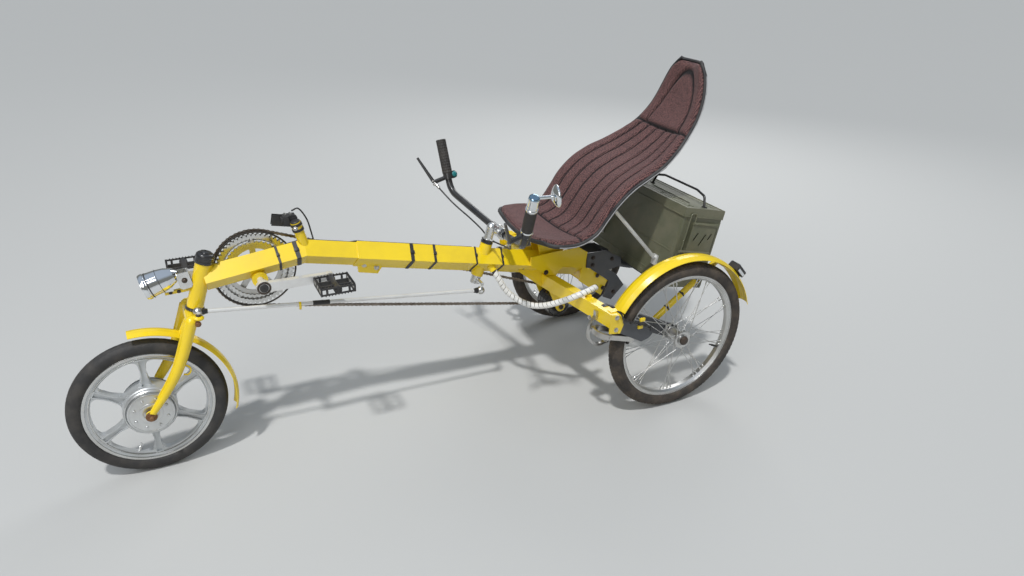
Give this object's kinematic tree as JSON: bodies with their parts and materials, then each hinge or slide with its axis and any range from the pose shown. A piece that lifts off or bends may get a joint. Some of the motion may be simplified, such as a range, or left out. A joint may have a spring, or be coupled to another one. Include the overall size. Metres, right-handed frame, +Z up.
{
  "type": "recumbent tricycle",
  "caption": "Recumbent tricycle with one steered front wheel, a long angular beam, a reclined mesh seat, under-seat bars and a steel luggage box.",
  "frame": {"origin": "on the ground under the middle of the whole trike", "axes": "+X forward, +Y to the rider's left, +Z up"},
  "size_m": [1.9986, 0.7521, 1.04],
  "materials": {
    "frame_paint": "gloss yellow enamel",
    "black_metal": "satin black",
    "steel": "bright",
    "cast_alloy": "satin",
    "tyre": "matte, dusty",
    "chain_steel": "oiled",
    "black_plastic": "matte",
    "lamp_chrome": "polished",
    "lens": "clear, ribbed",
    "rubber": "matte",
    "seat_mesh": "open mesh cloth",
    "loom_wrap": "white spiral wrap",
    "box_paint": "olive, slightly worn"
  },
  "bodies": {
    "frame": {"front_boom": "frame_paint", "main_beam": "frame_paint", "headset": "black_metal", "cross_tube": "frame_paint", "derailleur": "black_plastic", "chain": "chain_steel", "mid_hub": "black_plastic", "headlamp": "lamp_chrome", "headlamp_lens": "lens", "seat_shell": "black_plastic", "seat_pad": "seat_mesh", "seat_bracket": "frame_paint", "box_body": "box_paint", "tail_bracket": "frame_paint", "carrier": "black_metal", "loom": "loom_wrap", "box_latch": "box_paint", "rear_arm_left": "black_metal", "rear_arm_right": "black_metal", "brake_plate_left": "black_metal", "brake_plate_right": "black_metal", "rear_mudguard_left": "frame_paint", "rear_mudguard_right": "frame_paint", "guard_stay_left": "frame_paint", "guard_stay_right": "frame_paint", "tail_lamp_left": "black_plastic", "tail_lamp_right": "black_plastic", "brake_caliper_left": "steel", "brake_caliper_right": "steel", "seat_stay_left": "steel", "seat_stay_right": "steel"},
    "steering": {"fork": "frame_paint", "headset_cap": "black_metal", "front_axle": "steel", "front_mudguard": "frame_paint"},
    "front_wheel": {"front_wheel_casting": "cast_alloy", "motor_covers": "cast_alloy", "front_tyre": "tyre"},
    "handlebar_set": {"handlebar": "black_metal", "stem": "cast_alloy", "mirror": "lamp_chrome", "grip_left": "rubber", "grip_right": "rubber", "brake_lever_left": "black_metal", "brake_lever_right": "black_metal", "bar_cable_left": "black_plastic", "bar_cable_right": "black_plastic"},
    "steering_link": {"drag_link": "steel"},
    "rear_wheel_left": {"rear_rim_left": "cast_alloy", "rear_hub_left": "cast_alloy", "rear_tyre_left": "tyre"},
    "rear_wheel_right": {"rear_rim_right": "cast_alloy", "rear_hub_right": "cast_alloy", "rear_tyre_right": "tyre"},
    "cranks": {"crank_arms": "cast_alloy", "chainrings": "cast_alloy"},
    "pedal_left": {"pedal_left": "black_plastic"},
    "pedal_right": {"pedal_right": "black_plastic"},
    "lid": {"box_lid": "box_paint", "lid_handle": "black_metal"}
  },
  "joints": [
    {"name": "steering", "type": "hinge", "parent": "frame", "child": "steering", "pos_m": [0.63928, 0, 0.478], "axis": [-0.309, 0, 0.9511], "range_deg": [-30, 30]},
    {"name": "front_wheel_spin", "type": "hinge", "parent": "steering", "child": "front_wheel", "pos_m": [0.79528, 0, 0.204], "axis": [0, 1, 0], "continuous": true},
    {"name": "bar_turn", "type": "hinge", "parent": "frame", "child": "handlebar_set", "pos_m": [-0.17709, 0, 0.39], "axis": [-0.309, 0, 0.9511], "range_deg": [-30, 30]},
    {"name": "link_turn", "type": "hinge", "parent": "handlebar_set", "child": "steering_link", "pos_m": [-0.17709, 0.052, 0.39], "axis": [-0.309, 0, 0.9511], "range_deg": [-30, 30]},
    {"name": "rear_wheel_left_spin", "type": "hinge", "parent": "frame", "child": "rear_wheel_left", "pos_m": [-0.73172, 0.338, 0.25], "axis": [0, 1, 0], "continuous": true},
    {"name": "rear_wheel_right_spin", "type": "hinge", "parent": "frame", "child": "rear_wheel_right", "pos_m": [-0.73172, -0.338, 0.25], "axis": [0, 1, 0], "continuous": true},
    {"name": "crank_spin", "type": "hinge", "parent": "frame", "child": "cranks", "pos_m": [0.46828, 0, 0.538], "axis": [0, 1, 0], "continuous": true},
    {"name": "pedal_left_spin", "type": "hinge", "parent": "cranks", "child": "pedal_left", "pos_m": [0.29328, 0.138, 0.538], "axis": [0, 1, 0], "continuous": true},
    {"name": "pedal_right_spin", "type": "hinge", "parent": "cranks", "child": "pedal_right", "pos_m": [0.64328, -0.138, 0.538], "axis": [0, 1, 0], "continuous": true},
    {"name": "lid_hinge", "type": "hinge", "parent": "frame", "child": "lid", "pos_m": [-0.87044, -0.2415, 0.58642], "axis": [0.9763, 0, 0.2164], "range_deg": [0, 22]}
  ],
  "couplings": [
    {"joint": "bar_turn", "follows": "steering", "ratio": 1},
    {"joint": "link_turn", "follows": "steering", "ratio": -1}
  ]
}
